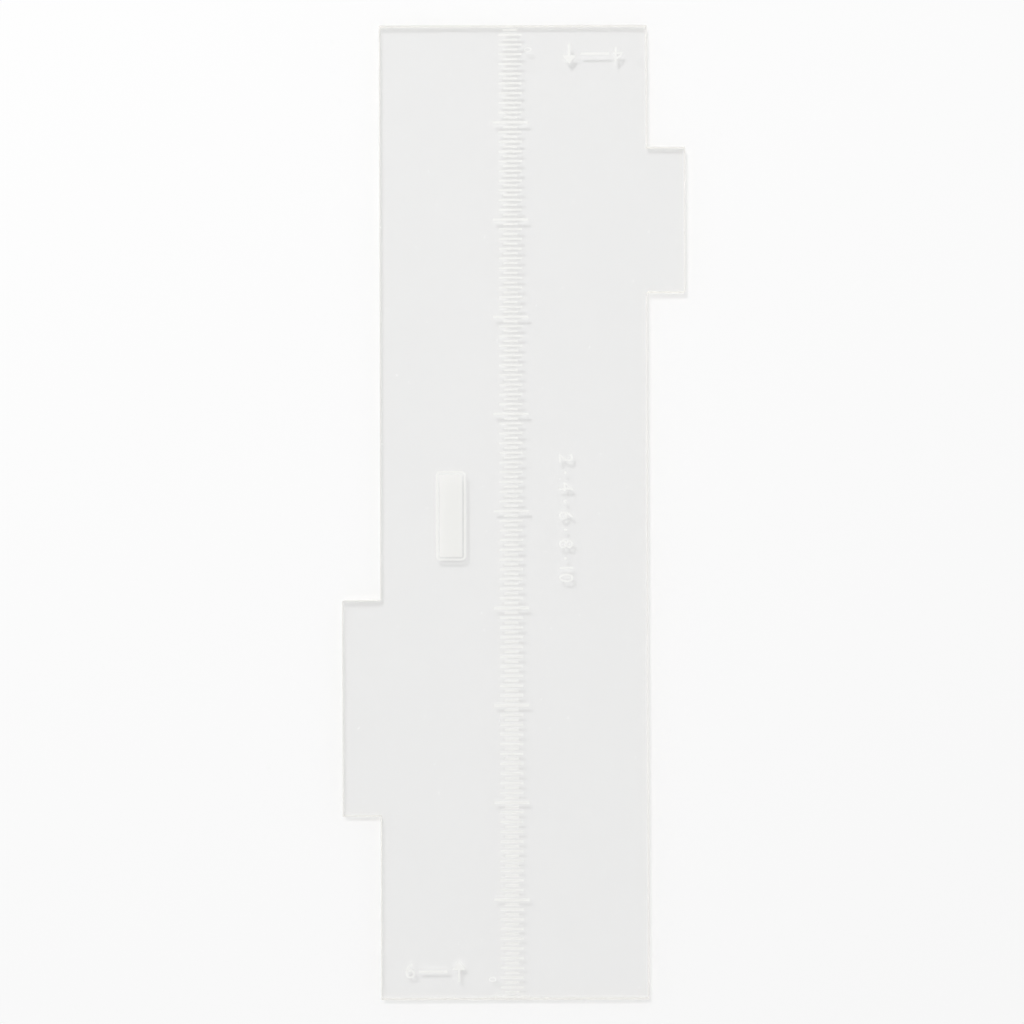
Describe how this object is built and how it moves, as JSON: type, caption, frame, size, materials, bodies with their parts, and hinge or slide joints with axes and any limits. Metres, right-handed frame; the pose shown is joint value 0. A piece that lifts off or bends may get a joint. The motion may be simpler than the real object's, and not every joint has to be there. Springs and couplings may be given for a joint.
{
  "type": "icing smoother",
  "caption": "Flat clear acrylic icing smoother with a tab on each long side, a foot at each end and an inch scale engraved along the middle.",
  "frame": {"origin": "centre of the back face, which lies on the table", "axes": "+Y along the length towards the four-inch foot, +X across towards the four-inch tab, +Z through the thickness out of the engraved front face"},
  "size_m": [0.09, 0.2548, 0.003],
  "materials": {
    "clear_acrylic": "clear cast acrylic, polished faces, laser-cut edges",
    "frosted_engraving": "matte white, laser-frosted groove floor"
  },
  "bodies": {
    "root": {"clear_sheet": "clear_acrylic", "inch_lines": "frosted_engraving", "tenth_lines": "frosted_engraving", "twentieth_lines": "frosted_engraving"}
  },
  "joints": []
}
